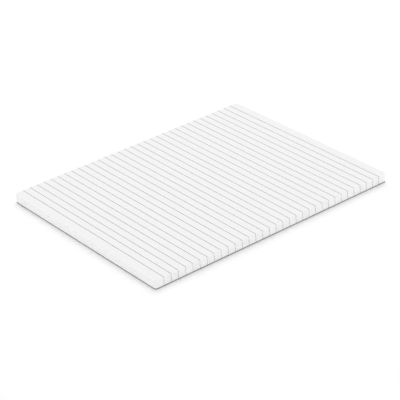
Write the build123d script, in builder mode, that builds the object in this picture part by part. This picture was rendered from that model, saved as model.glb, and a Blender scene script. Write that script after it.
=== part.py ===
"""A gummed writing pad that lies flat: ruled sheets on a grey backing board, held at the head by a film of glue.

Millimetres. X runs across the pad along the printed lines, Y from the foot to the head, Z up.
The origin is at the middle of the underside.
"""

import os

from build123d import *

# The trimmed pad: a quarto sheet, 8 by 10 inches, with a small round at each corner
pad_width = 203.2
pad_length = 254.0
corner_radius = 2.0

# Uncoated writing paper and the chipboard under it
sheet_count = 80
sheet_thickness = 0.093
board_thickness = 1.0

# The padding glue brushed over the head, clear of the pad's top and bottom arrises
gum_thickness = 0.3
gum_inset = 0.25
gum_round_share = 0.6

# The ruling: its spacing, the width of a line, how far the ink soaks in,
# and the least plain paper between a corner's round and the nearest line
line_pitch = 7.38
line_width = 0.4
ink_depth = 0.05
plain_margin = 4.0

# Worked out from the sizes above
sheet_length = pad_length - gum_thickness
block_height = sheet_count * sheet_thickness
pad_height = board_thickness + block_height
ruled_length = sheet_length - 2 * (corner_radius + plain_margin) - line_width
line_count = int(ruled_length // line_pitch) + 1

# The glue takes up its own thickness at the head, so the sheets lie that much nearer to the foot
under_board = Plane(origin=(0, -gum_thickness / 2, 0))
under_sheets = under_board.offset(board_thickness)
head_face = Plane(
    origin=(0, pad_length / 2 - gum_thickness, pad_height / 2),
    x_dir=(-1, 0, 0),
    z_dir=(0, 1, 0),
)

# The backing board is cut together with the sheets, so it has their outline
with BuildPart() as backing_board:
    with BuildSketch(under_board):
        RectangleRounded(pad_width, sheet_length, corner_radius)
    extrude(amount=board_thickness)
backing_board.part.label = "backing_board"

# The ruling starts as the skin of the block that ink can reach, on the top sheet and the cut sides,
# and bands across the pad keep only the lines of it: each goes over the top and down both long sides
with BuildPart() as ruling:
    with BuildSketch(under_sheets):
        RectangleRounded(pad_width, sheet_length, corner_radius)
    extrude(amount=block_height)
    with BuildSketch(under_sheets):
        RectangleRounded(
            pad_width - 2 * ink_depth, sheet_length - 2 * ink_depth, corner_radius - ink_depth
        )
    extrude(amount=block_height - ink_depth, mode=Mode.SUBTRACT)
    with BuildSketch(under_sheets):
        with GridLocations(0, line_pitch, 1, line_count):
            Rectangle(pad_width, line_width)
    extrude(amount=block_height, mode=Mode.INTERSECT)
ruling.part.label = "ruling"

# All the sheets are one block, and the lines are let into it flush with its faces
with BuildPart() as paper_block:
    with BuildSketch(under_sheets):
        RectangleRounded(pad_width, sheet_length, corner_radius)
    extrude(amount=block_height)
    add(ruling.part, mode=Mode.SUBTRACT)
paper_block.part.label = "paper_block"

# The glue is a film over the flat of the head, from corner round to corner round, with soft edges
with BuildPart() as gum_strip:
    with BuildSketch(head_face):
        Rectangle(pad_width - 2 * corner_radius, pad_height - 2 * gum_inset)
    extrude(amount=gum_thickness)
    outer_face = gum_strip.faces().sort_by(Axis.Y)[-1]
    fillet(outer_face.edges(), radius=gum_thickness * gum_round_share)
gum_strip.part.label = "gum_strip"

os.makedirs("parts", exist_ok=True)
for piece in (backing_board, ruling, paper_block, gum_strip):
    export_step(piece.part, f"parts/{piece.part.label}.step")
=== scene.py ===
# %% [markdown]
# # A ruled writing pad
#
# The object is a gummed pad that lies flat on a table: a stack of white sheets on a grey board,
# held together by a film of glue at one short end, the head. The board's grey is partly painted
# contact shade: its thin edge darkens the base of the pad where it meets the table. Each sheet is
# printed with grey lines that run off both of its long sides. So every cut sheet has a short grey
# mark on its edge wherever a line ends, and in the stack these marks line up into upright ticks down
# the long sides of the pad.
#
# The pad's sizes come from the imported CAD model. It is loaded first, as a frame that stays where it
# is, and everything made here is fitted to it, in metres.

# %% Load the imported pad
import math

import bmesh
import bpy
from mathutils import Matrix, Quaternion, Vector, noise


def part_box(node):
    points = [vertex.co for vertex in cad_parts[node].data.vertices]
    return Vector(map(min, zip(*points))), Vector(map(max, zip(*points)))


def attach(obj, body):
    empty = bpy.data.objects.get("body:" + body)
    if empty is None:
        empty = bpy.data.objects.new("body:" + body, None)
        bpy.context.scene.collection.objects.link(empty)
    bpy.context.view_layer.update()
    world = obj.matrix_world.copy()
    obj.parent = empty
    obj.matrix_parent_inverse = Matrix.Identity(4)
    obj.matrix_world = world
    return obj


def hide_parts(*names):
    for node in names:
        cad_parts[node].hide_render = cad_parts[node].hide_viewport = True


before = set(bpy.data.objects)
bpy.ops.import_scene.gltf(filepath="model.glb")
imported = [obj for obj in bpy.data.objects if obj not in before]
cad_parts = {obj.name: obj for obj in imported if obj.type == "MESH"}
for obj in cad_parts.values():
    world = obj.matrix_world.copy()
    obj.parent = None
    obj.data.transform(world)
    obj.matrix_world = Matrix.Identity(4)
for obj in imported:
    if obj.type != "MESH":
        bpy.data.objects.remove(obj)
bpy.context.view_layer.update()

MM = 0.001
print("nodes:", sorted(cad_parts))

# %% [markdown]
# ## Reading the sizes
#
# The CAD model has one solid for all the sheets, and one thin inlay for each printed line. Their
# boxes say how wide, long and high the stack is, and the inlays' own edges say where each line lies
# and how wide it is. Reading these here, and not typing them again, keeps the looks and the CAD in
# step. The glue covers only the straight part of the head, so what it leaves free on each side is
# the corner's round.

# %% Read the sheets, the lines and the head
paper_low, paper_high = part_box("paper_block")
sheet_width, sheet_length, stack_height = paper_high - paper_low
head_y = paper_high.y

gum_low, gum_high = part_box("gum_strip")
corner_radius = gum_low.x - paper_low.x

# Rounded to a micrometre, the corners of an inlay give just the two edges of its line
line_edges = sorted({round(v.co.y, 6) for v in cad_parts["ruling"].data.vertices})
line_width = line_edges[1] - line_edges[0]
line_places = [(a + b) / 2 for a, b in zip(line_edges[::2], line_edges[1::2])]
line_pitch = line_places[1] - line_places[0]
print(f"sheets {sheet_width / MM:.1f} x {sheet_length / MM:.1f} mm, stack {stack_height / MM:.2f} mm")
print(f"{len(line_places)} lines, {line_pitch / MM:.2f} mm apart and {line_width / MM:.2f} mm wide")

# %% [markdown]
# ## Helpers for nodes and finishes
#
# Materials and Geometry Nodes are both graphs of nodes, so one small function serves for both: it
# adds a node, sets its options, fills in the values of its sockets and links the others. Colours
# are written as the hex values that a paint program shows. Blender calculates with linear light, so
# a second function turns one into the other. The last two start a new finish, and turn the real
# size of a feature into the scale of its texture.

# %% Helpers
def add_node(tree, kind, values=None, links=None, **options):
    """Adds a node. Sockets are named, or numbered where several share a name."""
    node = tree.nodes.new(kind)
    for name, value in options.items():
        setattr(node, name, value)
    for socket, value in (values or {}).items():
        node.inputs[socket].default_value = value
    for socket, source in (links or {}).items():
        tree.links.new(source, node.inputs[socket])
    return node


def linear(hex_colour):
    """The linear RGBA of an sRGB colour such as #F4F4F3."""
    channels = [int(hex_colour[i:i + 2], 16) / 255 for i in (1, 3, 5)]
    light = [c / 12.92 if c <= 0.04045 else ((c + 0.055) / 1.055) ** 2.4 for c in channels]
    return (*light, 1.0)


def new_material(name):
    """A new finish: the material, its node tree and its shader."""
    material = bpy.data.materials.new(name)
    material.use_nodes = True
    tree = material.node_tree
    return material, tree, tree.nodes["Principled BSDF"]


def per_metre(size_mm):
    """The scale of a texture whose features are this many millimetres across."""
    return 1 / (size_mm * MM)


print("white paper in linear light:", [round(c, 3) for c in linear("#F4F4F4")[:3]])

# %% [markdown]
# ## Uncoated writing paper
#
# Writing paper is a felt of pressed fibres without a coating. Against the light it looks cloudy,
# because the fibres gather in soft clumps a few millimetres across, and its surface is matt with a
# very fine tooth. A flat white would look like plastic. Here a slow noise shifts the white a little
# for the clouds, and a fine noise raises the fibres as bump. Real fibres are about 0.03 mm thick,
# far below what the picture can show, so they are drawn ten times as coarse.

# %% Paper
paper, tree, shader = new_material("uncoated_writing_paper")
place = add_node(tree, "ShaderNodeTexCoord").outputs["Object"]
clouds = add_node(
    tree,
    "ShaderNodeTexNoise",
    {"Scale": per_metre(5.0), "Detail": 3.0, "Roughness": 0.55},
    {"Vector": place},
)
white = add_node(
    tree,
    "ShaderNodeMix",
    {6: linear("#F0F0F0"), 7: linear("#F4F4F4")},
    {0: clouds.outputs["Fac"]},
    data_type="RGBA",
)
fibres = add_node(
    tree,
    "ShaderNodeTexNoise",
    {"Scale": per_metre(0.3), "Detail": 2.0},
    {"Vector": place},
)
tooth = add_node(
    tree,
    "ShaderNodeBump",
    {"Strength": 0.25, "Distance": 0.02 * MM},
    {"Height": fibres.outputs["Fac"]},
)
shader.inputs["Roughness"].default_value = 0.9
shader.inputs["Specular IOR Level"].default_value = 0.25
tree.links.new(white.outputs[2], shader.inputs["Base Color"])
tree.links.new(tooth.outputs["Normal"], shader.inputs["Normal"])
print("finish:", paper.name)

# %% [markdown]
# ## Ruling ink
#
# The lines are printed with a thin grey ink that soaks into the paper, so they are as matt as the
# sheet and their tone wavers a little where the fibres take more or less of it. A noise with
# features of about a millimetre gives that wavering.

# %% Ink
ink, tree, shader = new_material("grey_ruling_ink")
place = add_node(tree, "ShaderNodeTexCoord").outputs["Object"]
uptake = add_node(
    tree,
    "ShaderNodeTexNoise",
    {"Scale": per_metre(1.2), "Detail": 2.0},
    {"Vector": place},
)
grey = add_node(
    tree,
    "ShaderNodeMix",
    {6: linear("#5E5E5F"), 7: linear("#747475")},
    {0: uptake.outputs["Fac"]},
    data_type="RGBA",
)
shader.inputs["Roughness"].default_value = 0.85
shader.inputs["Specular IOR Level"].default_value = 0.25
tree.links.new(grey.outputs[2], shader.inputs["Base Color"])
print("finish:", ink.name)

# %% [markdown]
# ## Grey chipboard, with painted contact shade
#
# The stiff back of a pad is chipboard, made from waste paper that was pulped and pressed. It is a
# dull grey, flecked with bits of dark and light fibre, and rougher than the sheets. Its grey is also
# set darker than the board alone would need, so that the board's thin edge paints the contact shade
# along the base of the pad: partly the board's own grey, partly painted shade. The grey isn't even,
# because the pulp settles in clumps. So a noise with features of a few millimetres mixes two greys,
# and the same noise raises the grain of the board as bump.

# %% Chipboard pulp
chipboard_and_contact_shade, tree, shader = new_material("grey_chipboard_and_painted_contact_shade")
place = add_node(tree, "ShaderNodeTexCoord").outputs["Object"]
pulp = add_node(
    tree,
    "ShaderNodeTexNoise",
    {"Scale": per_metre(4.0), "Detail": 5.0, "Roughness": 0.65},
    {"Vector": place},
)
# Two greys of board, both dark enough to paint the contact shade where the pad meets the table
board_grey_and_contact_shade = add_node(
    tree,
    "ShaderNodeMix",
    {6: linear("#848382"), 7: linear("#9A9997")},
    {0: pulp.outputs["Fac"]},
    data_type="RGBA",
)
grain = add_node(
    tree,
    "ShaderNodeBump",
    {"Strength": 0.4, "Distance": 0.05 * MM},
    {"Height": pulp.outputs["Fac"]},
)
shader.inputs["Roughness"].default_value = 0.95
shader.inputs["Specular IOR Level"].default_value = 0.2
tree.links.new(grain.outputs["Normal"], shader.inputs["Normal"])
print("finish:", chipboard_and_contact_shade.name)

# %% [markdown]
# The flecks come from a cell texture: each small cell has its own random grey, and only the darkest
# and lightest cells show. Cells alone have straight sides like cut glass, so a fine noise shifts
# the places where they are looked up, and the flecks come out torn.

# %% Chipboard flecks
# The share of dark cells, and of light ones, and how far the noise shifts a place
FLECK_SHARE = 0.1
TEAR = 0.4 * MM

tear = add_node(
    tree,
    "ShaderNodeTexNoise",
    {"Scale": per_metre(0.25), "Detail": 2.0},
    {"Vector": place},
)
torn_place = add_node(
    tree,
    "ShaderNodeVectorMath",
    {1: (TEAR, TEAR, TEAR)},
    {0: tear.outputs["Color"], 2: place},
    operation="MULTIPLY_ADD",
)
cells = add_node(
    tree,
    "ShaderNodeTexVoronoi",
    {"Scale": per_metre(0.45)},
    {"Vector": torn_place.outputs["Vector"]},
)
cell_tone = add_node(tree, "ShaderNodeSeparateColor", links={"Color": cells.outputs["Color"]})
dark_fleck = add_node(
    tree,
    "ShaderNodeMapRange",
    {"From Min": FLECK_SHARE, "From Max": 0.0, "To Max": 0.6},
    {"Value": cell_tone.outputs["Red"]},
)
light_fleck = add_node(
    tree,
    "ShaderNodeMapRange",
    {"From Min": 1 - FLECK_SHARE, "From Max": 1.0, "To Max": 0.5},
    {"Value": cell_tone.outputs["Red"]},
)
with_dark = add_node(
    tree,
    "ShaderNodeMix",
    {7: linear("#545352")},
    {0: dark_fleck.outputs["Result"], 6: board_grey_and_contact_shade.outputs[2]},
    data_type="RGBA",
)
with_light = add_node(
    tree,
    "ShaderNodeMix",
    {7: linear("#C8C7C4")},
    {0: light_fleck.outputs["Result"], 6: with_dark.outputs[2]},
    data_type="RGBA",
)
tree.links.new(with_light.outputs[2], shader.inputs["Base Color"])
print(f"flecks on {2 * FLECK_SHARE:.0%} of the board")

# %% [markdown]
# ## Padding glue
#
# The head is brushed with white glue, which dries to a tough film with a soft gloss. It is not
# quite clear, so it looks a little creamier than the sheets, and the brush leaves long streaks
# along it. A noise that is stretched along the head gives the streaks, both in the tone and in the
# gloss.

# %% Glue
glue, tree, shader = new_material("dried_padding_glue")
place = add_node(tree, "ShaderNodeTexCoord").outputs["Object"]
along_head = add_node(
    tree,
    "ShaderNodeMapping",
    {"Scale": (per_metre(18.0), per_metre(1.0), per_metre(1.0))},
    {"Vector": place},
)
streaks = add_node(
    tree,
    "ShaderNodeTexNoise",
    {"Scale": 1.0, "Detail": 3.0},
    {"Vector": along_head.outputs["Vector"]},
)
cream = add_node(
    tree,
    "ShaderNodeMix",
    {6: linear("#E6E3DA"), 7: linear("#F3F1EA")},
    {0: streaks.outputs["Fac"]},
    data_type="RGBA",
)
gloss = add_node(
    tree,
    "ShaderNodeMapRange",
    {"To Min": 0.28, "To Max": 0.5},
    {"Value": streaks.outputs["Fac"]},
)
shader.inputs["IOR"].default_value = 1.47
tree.links.new(cream.outputs[2], shader.inputs["Base Color"])
tree.links.new(gloss.outputs["Result"], shader.inputs["Roughness"])
print("finish:", glue.name)

# %% [markdown]
# ## A stack that follows a rule
#
# A pile of sheets is the same piece again and again, so Geometry Nodes make it: one point for each
# sheet, and one sheet set on each point. The glue holds every sheet at the head, and nowhere else,
# so a sheet that isn't quite true has swung about the middle of its head by a hair. The points
# therefore stand at the head, and each gets a small random turn with a fixed seed.

# %% Sizes of the stack
# The number of sheets, how much of its room each one fills, and how far its foot may stray
SHEETS = 80
SHEET_SHARE = 0.94
STRAY = 0.03 * MM
SEED = 11

sheet_thickness = stack_height / SHEETS * SHEET_SHARE
sheet_rise = (stack_height - sheet_thickness) / (SHEETS - 1)
stack_values = {
    "Sheets": SHEETS,
    "Sheet Rise": sheet_rise,
    "Head": head_y,
    "Base": paper_low.z,
    "Least Swing": -STRAY / sheet_length,
    "Most Swing": STRAY / sheet_length,
    "Seed": SEED,
}
print(f"{SHEETS} sheets, {sheet_thickness / MM:.4f} mm thick, one every {sheet_rise / MM:.4f} mm")

# %% [markdown]
# A tree is a small program: values go in by name, and a mesh comes out. One function starts a tree
# with an input for each value of a list. Another runs a finished tree on an empty object and keeps
# the result as a plain mesh, because a tree left on the object would be run again for every
# picture.

# %% Starting and running a tree
SOCKETS = {int: "NodeSocketInt", float: "NodeSocketFloat", bpy.types.Material: "NodeSocketMaterial"}


def new_tree(name, values):
    """A tree with a named input for each value. Gives the tree, its inputs and its output."""
    tree = bpy.data.node_groups.new(name, "GeometryNodeTree")
    for label, value in values.items():
        tree.interface.new_socket(label, in_out="INPUT", socket_type=SOCKETS[type(value)])
    tree.interface.new_socket("Geometry", in_out="OUTPUT", socket_type="NodeSocketGeometry")
    return tree, tree.nodes.new("NodeGroupInput").outputs, tree.nodes.new("NodeGroupOutput")


def grow(name, tree, values):
    """Runs a tree with these values and keeps what it makes as a plain mesh at the origin."""
    piece = bpy.data.objects.new(name, bpy.data.meshes.new(name))
    bpy.context.scene.collection.objects.link(piece)
    modifier = piece.modifiers.new(tree.name, "NODES")
    modifier.node_group = tree
    for socket in tree.interface.items_tree:
        if socket.in_out == "INPUT":
            modifier[socket.identifier] = values[socket.name]
    depsgraph = bpy.context.evaluated_depsgraph_get()
    mesh = bpy.data.meshes.new_from_object(piece.evaluated_get(depsgraph))
    piece.modifiers.remove(modifier)
    piece.data = mesh
    print(f"{name}: {len(mesh.vertices)} points, {len(mesh.polygons)} faces")
    return piece


print("kinds of input:", [kind.__name__ for kind in SOCKETS])

# %% [markdown]
# The sheets and their printed marks are two pieces with a tree each. Both need the same places and
# turns, so one function adds those nodes to either tree.

# %% Where the sheets lie
def sheet_places(tree, given):
    """Adds a point at the head of every sheet, and the turn that each sheet takes about it."""
    start = add_node(tree, "ShaderNodeCombineXYZ", links={"Y": given["Head"], "Z": given["Base"]})
    rise = add_node(tree, "ShaderNodeCombineXYZ", links={"Z": given["Sheet Rise"]})
    points = add_node(
        tree,
        "GeometryNodeMeshLine",
        links={
            "Count": given["Sheets"],
            "Start Location": start.outputs["Vector"],
            "Offset": rise.outputs["Vector"],
        },
    )
    index = add_node(tree, "GeometryNodeInputIndex")
    swing = add_node(
        tree,
        "FunctionNodeRandomValue",
        links={
            2: given["Least Swing"],
            3: given["Most Swing"],
            "ID": index.outputs["Index"],
            "Seed": given["Seed"],
        },
    )
    turn = add_node(tree, "ShaderNodeCombineXYZ", links={"Z": swing.outputs[1]})
    return points.outputs["Mesh"], turn.outputs["Vector"]


print(f"a sheet swings by up to {math.degrees(STRAY / sheet_length):.4f} degrees")

# %% [markdown]
# ## The sheets
#
# One sheet is a rectangle with small round corners and the thickness of paper. In the tree a
# rectangle is drawn as a curve, its corners are filleted, and the outline is filled and raised by
# the thickness. Raising a face leaves the underside open, so the filled outline is also turned over
# and joined on as the underside.

# %% One sheet
# The steps of a corner's round, and how close two points have to be to become one
CORNER_STEPS = 6
WELD = 0.001 * MM

sheet_values = {
    **stack_values,
    "Width": sheet_width,
    "Length": sheet_length,
    "Middle": -sheet_length / 2,
    "Corner Radius": corner_radius,
    "Sheet Thickness": sheet_thickness,
    "Paper": paper,
}
tree, given, output = new_tree("trimmed_sheets", sheet_values)
outline = add_node(
    tree,
    "GeometryNodeCurvePrimitiveQuadrilateral",
    links={"Width": given["Width"], "Height": given["Length"]},
)
rounded = add_node(
    tree,
    "GeometryNodeFilletCurve",
    {"Count": CORNER_STEPS},
    {"Curve": outline.outputs["Curve"], "Radius": given["Corner Radius"]},
    mode="POLY",
)
filled = add_node(
    tree, "GeometryNodeFillCurve", links={"Curve": rounded.outputs["Curve"]}, mode="NGONS"
)
raised = add_node(
    tree,
    "GeometryNodeExtrudeMesh",
    {"Individual": False},
    {"Mesh": filled.outputs["Mesh"], "Offset Scale": given["Sheet Thickness"]},
)
underside = add_node(tree, "GeometryNodeFlipFaces", links={"Mesh": filled.outputs["Mesh"]})
both = add_node(tree, "GeometryNodeJoinGeometry", links={"Geometry": raised.outputs["Mesh"]})
tree.links.new(underside.outputs["Mesh"], both.inputs["Geometry"])
closed = add_node(
    tree,
    "GeometryNodeMergeByDistance",
    {"Distance": WELD},
    {"Geometry": both.outputs["Geometry"]},
)
print(f"one sheet with corners of {corner_radius / MM:.1f} mm")

# %% [markdown]
# The sheet is drawn round its own middle, so it is first moved by half its length, until its head
# lies on the point that it is set on. A hair of air is left between the sheets: it is what lets an
# eye close to the pad tell one cut edge from the next.

# %% Stack of sheets
points, turn = sheet_places(tree, given)
from_head = add_node(tree, "ShaderNodeCombineXYZ", links={"Y": given["Middle"]})
sheet = add_node(
    tree,
    "GeometryNodeTransform",
    links={"Geometry": closed.outputs["Geometry"], "Translation": from_head.outputs["Vector"]},
)
stack = add_node(
    tree,
    "GeometryNodeInstanceOnPoints",
    links={"Points": points, "Instance": sheet.outputs["Geometry"], "Rotation": turn},
)
real = add_node(
    tree, "GeometryNodeRealizeInstances", links={"Geometry": stack.outputs["Instances"]}
)
dressed = add_node(
    tree,
    "GeometryNodeSetMaterial",
    links={"Geometry": real.outputs["Geometry"], "Material": given["Paper"]},
)
tree.links.new(dressed.outputs["Geometry"], output.inputs["Geometry"])
sheet_stack = grow("sheet_stack", tree, sheet_values)

# %% [markdown]
# ## The ruling
#
# On the top sheet the print is a set of lines from side to side. On the cut sides only the ends of
# the lines show, one small mark for each line and sheet. The ink doesn't soak right through the
# sheet, so a mark covers the upper part of the sheet's edge and some white stays below it: that is
# why the ticks look paler than the lines. A texture could paint all this, but then the marks
# wouldn't sit on the sheets' own edges. So both are made as thin flakes of ink that lie on the
# paper, long ones for the lines and short ones for the ticks.

# %% Sizes of the print
# How thick the ink lies on the paper, and how much of a sheet's edge it soaks down
INK_FILM = 0.01 * MM
SOAK_SHARE = 0.53

soaked = sheet_thickness * SOAK_SHARE
side_place = (sheet_width + INK_FILM) / 2
ruling_values = {
    **stack_values,
    "Last Sheet": SHEETS - 1,
    "Lines": len(line_places),
    "Line Pitch": line_pitch,
    "Line Width": line_width,
    "Line Length": sheet_width,
    "First Line": line_places[0] - head_y,
    "Line Height": sheet_thickness + INK_FILM / 2,
    "Tick Length": soaked,
    "Tick Height": sheet_thickness - soaked / 2,
    "Right Side": side_place,
    "Left Side": -side_place,
    "Ink Film": INK_FILM,
    "Ink": ink,
}
tree, given, output = new_tree("ruled_lines", ruling_values)
points, turn = sheet_places(tree, given)
print(f"a tick covers {soaked / MM:.3f} mm of each sheet's edge")

# %% [markdown]
# A row of flakes has one point for each line, from the foot to the head, and a thin box on every
# point. The rows for the top and for the two sides differ only in the size of the box and in where
# they start, so one function adds any of them. It measures from the sheet's own point at the head,
# because that is where the row is set later.

# %% Rows of flakes
pitch = add_node(tree, "ShaderNodeCombineXYZ", links={"Y": given["Line Pitch"]})


def row_of_flakes(size, start):
    """Adds a flake of ink for each line. Size and start name the input for each axis."""
    box_size = add_node(
        tree, "ShaderNodeCombineXYZ", links={axis: given[name] for axis, name in size.items()}
    )
    first = add_node(
        tree, "ShaderNodeCombineXYZ", links={axis: given[name] for axis, name in start.items()}
    )
    row = add_node(
        tree,
        "GeometryNodeMeshLine",
        links={
            "Count": given["Lines"],
            "Start Location": first.outputs["Vector"],
            "Offset": pitch.outputs["Vector"],
        },
    )
    flake = add_node(tree, "GeometryNodeMeshCube", links={"Size": box_size.outputs["Vector"]})
    placed = add_node(
        tree,
        "GeometryNodeInstanceOnPoints",
        links={"Points": row.outputs["Mesh"], "Instance": flake.outputs["Mesh"]},
    )
    return placed.outputs["Instances"]


lines = row_of_flakes(
    {"X": "Line Length", "Y": "Line Width", "Z": "Ink Film"},
    {"Y": "First Line", "Z": "Line Height"},
)
ticks = add_node(tree, "GeometryNodeJoinGeometry")
for side in ("Left Side", "Right Side"):
    row = row_of_flakes(
        {"X": "Ink Film", "Y": "Line Width", "Z": "Tick Length"},
        {"X": side, "Y": "First Line", "Z": "Tick Height"},
    )
    tree.links.new(row, ticks.inputs["Geometry"])
print(f"three rows of {len(line_places)} flakes")

# %% [markdown]
# The ticks go on every sheet and the lines only on the last one, which a comparison of the points'
# numbers picks out. Both take the turn of their sheet, so that each mark stays on its own paper.

# %% Lines and ticks
on_every_sheet = add_node(
    tree,
    "GeometryNodeInstanceOnPoints",
    links={"Points": points, "Instance": ticks.outputs["Geometry"], "Rotation": turn},
)
number = add_node(tree, "GeometryNodeInputIndex")
is_top = add_node(
    tree,
    "FunctionNodeCompare",
    links={2: number.outputs["Index"], 3: given["Last Sheet"]},
    data_type="INT",
    operation="EQUAL",
)
on_top_sheet = add_node(
    tree,
    "GeometryNodeInstanceOnPoints",
    links={
        "Points": points,
        "Selection": is_top.outputs["Result"],
        "Instance": lines,
        "Rotation": turn,
    },
)
printed_marks = add_node(
    tree, "GeometryNodeJoinGeometry", links={"Geometry": on_every_sheet.outputs["Instances"]}
)
tree.links.new(on_top_sheet.outputs["Instances"], printed_marks.inputs["Geometry"])
real = add_node(
    tree, "GeometryNodeRealizeInstances", links={"Geometry": printed_marks.outputs["Geometry"]}
)
dressed = add_node(
    tree,
    "GeometryNodeSetMaterial",
    links={"Geometry": real.outputs["Geometry"], "Material": given["Ink"]},
)
tree.links.new(dressed.outputs["Geometry"], output.inputs["Geometry"])
ruled_lines = grow("ruled_lines", tree, ruling_values)

# %% [markdown]
# ## The glue film
#
# The CAD model has the film as a flat strip with soft edges. The real one was brushed on by hand:
# it is thickest along the middle, thins out to nothing at its rim, and has low ridges where the
# bristles went. So it is made as a grid over the head that is pushed out by those rules, with a
# flat grid behind it. The two share their rim, which makes the film a closed skin.

# %% Glue film
# The grid, a streak of the brush, how deep the ridges go, and how full the film is across the head
COLUMNS, ROWS = 240, 12
STREAK_LENGTH, STREAK_WIDTH = 22.0 * MM, 0.8 * MM
RIDGE_SHARE = 0.35
CROWN_POWER = 0.3

film_thickness = gum_high.y - gum_low.y
film_mesh = bpy.data.meshes.new("glue_film")
build = bmesh.new()


def film_point(column, row, height):
    """A point of the film. Height 1 is its brushed face, and 0 is its flat back on the head."""
    across, up = column / COLUMNS, row / ROWS
    x = gum_low.x + across * (gum_high.x - gum_low.x)
    z = gum_low.z + up * (gum_high.z - gum_low.z)
    rim = min(across * COLUMNS, (1 - across) * COLUMNS, up * ROWS, (1 - up) * ROWS, 1)
    ridges = 0.5 + 0.5 * noise.noise(Vector((x / STREAK_LENGTH, 0, z / STREAK_WIDTH)))
    crown = math.sin(math.pi * up) ** CROWN_POWER if 0 < up < 1 else 0
    depth = height * film_thickness * rim * crown * (1 - RIDGE_SHARE * ridges)
    return Vector((x, gum_low.y + depth, z))


for height in (1, 0):
    grid = [
        [build.verts.new(film_point(column, row, height)) for column in range(COLUMNS + 1)]
        for row in range(ROWS + 1)
    ]
    for low, high in zip(grid, grid[1:]):
        for column in range(COLUMNS):
            corners = [low[column], high[column], high[column + 1], low[column + 1]]
            build.faces.new(corners if height else corners[::-1])
bmesh.ops.remove_doubles(build, verts=build.verts, dist=WELD)
for face in build.faces:
    face.smooth = True
build.to_mesh(film_mesh)
build.free()
film_mesh.materials.append(glue)
glue_film = bpy.data.objects.new("glue_film", film_mesh)
bpy.context.scene.collection.objects.link(glue_film)
print(f"glue film: {len(film_mesh.polygons)} faces, up to {film_thickness / MM:.2f} mm thick")

# %% [markdown]
# ## Setting the pieces in the frame
#
# Each new piece is hung on the pad's root, so that it goes where the pad goes, and the CAD part that
# it stands for is hidden. The board's shape is right as it is, so it only gets its finish.

# %% Dress the frame
for piece, node, slot in (
    (sheet_stack, "paper_block", "paper"),
    (ruled_lines, "ruling", "ink"),
    (glue_film, "gum_strip", "gum"),
):
    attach(piece, "root")
    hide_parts(node)
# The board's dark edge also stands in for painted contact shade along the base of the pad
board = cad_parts["backing_board"]
board.data.materials.clear()
board.data.materials.append(chipboard_and_contact_shade)

# %% [markdown]
# ## A white table
#
# The pad lies on a plain white ground with no visible edge: one large square with a pure white,
# matt finish. It needs nothing more, because under the light below, white comes out as white. The
# pad's shadow still shows on it.

# %% Table
TABLE_SIDE = 8.0

white_table, tree, shader = new_material("matt_white_table")
shader.inputs["Base Color"].default_value = linear("#FFFFFF")
shader.inputs["Roughness"].default_value = 1.0
shader.inputs["Specular IOR Level"].default_value = 0.0

half = TABLE_SIDE / 2
corners = [(-half, -half, 0), (half, -half, 0), (half, half, 0), (-half, half, 0)]
table_mesh = bpy.data.meshes.new("table")
table_mesh.from_pydata(corners, [], [range(4)])
table_mesh.materials.append(white_table)
table = bpy.data.objects.new("table", table_mesh)
bpy.context.scene.collection.objects.link(table)
print("table:", TABLE_SIDE, "m square")

# %% [markdown]
# ## Soft light
#
# The light is that of a white studio. Most of it comes from all round, and that is the world's
# part. A world this dim would look grey in the distance, so rays from the camera, a gloss or a
# glass find it white.

# %% World
ROOM_LIGHT = 0.665

world = bpy.data.worlds.new("white_room")
world.use_nodes = True
tree = world.node_tree
rays = add_node(tree, "ShaderNodeLightPath").outputs
seen = rays["Is Camera Ray"]
for kind in ("Is Glossy Ray", "Is Transmission Ray"):
    either = add_node(tree, "ShaderNodeMath", links={0: seen, 1: rays[kind]}, operation="MAXIMUM")
    seen = either.outputs["Value"]
strength = add_node(
    tree, "ShaderNodeMapRange", {"To Min": ROOM_LIGHT, "To Max": 1.0}, {"Value": seen}
)
room = tree.nodes["Background"]
room.inputs["Color"].default_value = linear("#FFFFFF")
tree.links.new(strength.outputs["Result"], room.inputs["Strength"])
bpy.context.scene.world = world
print("room light:", ROOM_LIGHT)

# %% [markdown]
# A large softbox stands high behind the pad, so a thin soft shadow gathers along the two sides that
# the camera sees. Two low strips keep those sides nearly as bright as the top. They stand so low
# that they throw no shadow to speak of on the table behind, and so far off that no view shows where
# their light ends. Each is turned a little away from the near corner, because both strips reach its
# round, which would shine out otherwise. Together with the world, the lamps give a level sheet just
# the strength at which its colour comes out as written.

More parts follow.
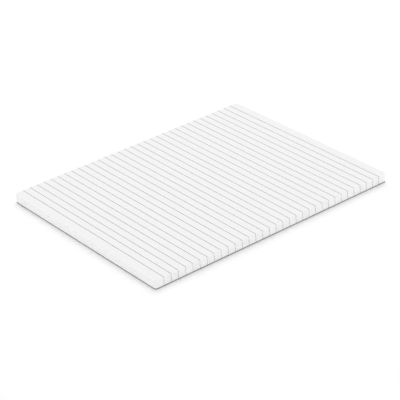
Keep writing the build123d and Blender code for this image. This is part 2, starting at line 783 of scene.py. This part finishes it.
# %% Lamps
SOFTBOX = {"elevation": 56, "distance": 6.0, "size": (5.6, 5.6)}
STRIP = {"elevation": 6, "distance": 4.2, "size": (2.1, 0.84)}
LAMPS = {
    "softbox_behind": {**SOFTBOX, "azimuth": 230, "watts": 168.0},
    "strip_at_foot": {**STRIP, "azimuth": -15, "watts": 36.5},
    "strip_at_side": {**STRIP, "azimuth": 105, "watts": 39.2},
}


def from_middle(azimuth, elevation):
    """The direction from the pad to a place round it. Azimuth 0 is the foot, 90 the right."""
    turn, rise = math.radians(azimuth), math.radians(elevation)
    return Vector(
        (math.sin(turn) * math.cos(rise), -math.cos(turn) * math.cos(rise), math.sin(rise))
    )


for name, lamp in LAMPS.items():
    light = bpy.data.lights.new(name, "AREA")
    light.shape = "RECTANGLE"
    light.size, light.size_y = lamp["size"]
    light.energy = lamp["watts"]
    box = bpy.data.objects.new(name, light)
    towards = from_middle(lamp["azimuth"], lamp["elevation"])
    box.location = towards * lamp["distance"]
    box.rotation_mode = "QUATERNION"
    box.rotation_quaternion = towards.to_track_quat("Z", "Y")
    box.visible_camera = False
    bpy.context.scene.collection.objects.link(box)
print("lamps:", list(LAMPS))

# %% [markdown]
# ## The camera
#
# The picture looks down on the near right corner of the pad from about a metre and a half away
# through a long lens, so the far sides shrink only a little. The camera is held slightly crooked,
# about four degrees, which tips the whole pad in the frame.

# %% Camera
AZIMUTH, ELEVATION, ROLL = 53.31, 28.78, -4.13
DISTANCE = 1426.4 * MM
AIM = Vector((17.8, -14.4, 4.54)) * MM
LENS_MM, SENSOR_MM = 148.74, 36.0

lens = bpy.data.cameras.new("camera")
lens.lens = LENS_MM
lens.sensor_width = SENSOR_MM
camera = bpy.data.objects.new("camera", lens)
back = from_middle(AZIMUTH, ELEVATION)
camera.location = AIM + back * DISTANCE
camera.rotation_mode = "QUATERNION"
camera.rotation_quaternion = back.to_track_quat("Z", "Y") @ Quaternion((0, 0, 1), math.radians(ROLL))
bpy.context.scene.collection.objects.link(camera)
bpy.context.scene.camera = camera
bpy.context.scene.view_settings.view_transform = "Standard"
print("camera at", [round(c, 3) for c in camera.location])

# %% [markdown]
# ## Last step
#
# The view layer is updated once more, so that every piece stands where it was set.

# %% Update the scene
bpy.context.view_layer.update()
